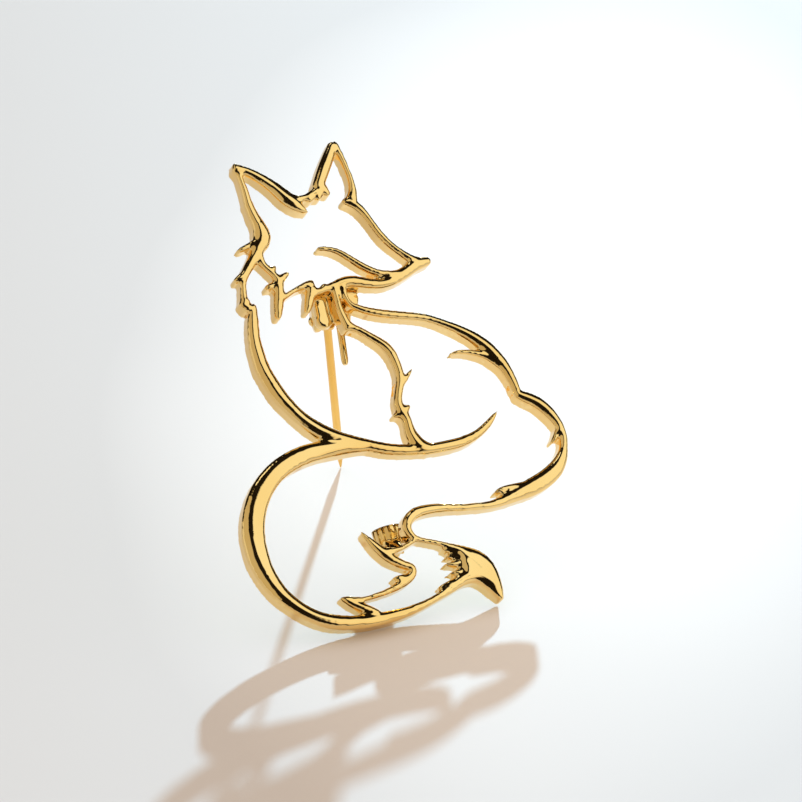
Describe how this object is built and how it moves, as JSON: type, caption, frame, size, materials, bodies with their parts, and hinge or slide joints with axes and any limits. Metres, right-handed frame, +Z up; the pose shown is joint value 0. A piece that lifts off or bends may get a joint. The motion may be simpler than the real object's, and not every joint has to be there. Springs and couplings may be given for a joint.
{
  "type": "figural brooch",
  "caption": "Openwork line-drawn fox brooch, standing on its tail and its opened pin, with a hinged needle and a turning catch.",
  "frame": {"origin": "centre of the bounding box in plan, on the floor it stands on", "axes": "+Z up from the floor, -Y the way the drawing faces, +X to the fox's nose; the plate leans back from the floor line along X"},
  "size_m": [0.0368, 0.0363, 0.0385],
  "materials": {
    "gold": "polished gold plating",
    "pale_gold": "satin pale gold wire"
  },
  "bodies": {
    "fox": {"fox_casting": "gold", "hinge_rivet": "gold", "spring_leg": "pale_gold"},
    "needle": {"pin_stem": "pale_gold"},
    "roll": {"catch_roll": "gold"}
  },
  "joints": [
    {"name": "needle_hinge", "type": "hinge", "parent": "fox", "child": "needle", "pos_m": [-0.00112, 0.0081, 0.02283], "axis": [-0.9751, 0.1615, -0.1517], "range_deg": [0, 64.16]},
    {"name": "catch_turn", "type": "hinge", "parent": "fox", "child": "roll", "pos_m": [-0.00142, -0.00756, 0.00475], "axis": [0, 0.6845, 0.729], "range_deg": [0, 100]}
  ]
}
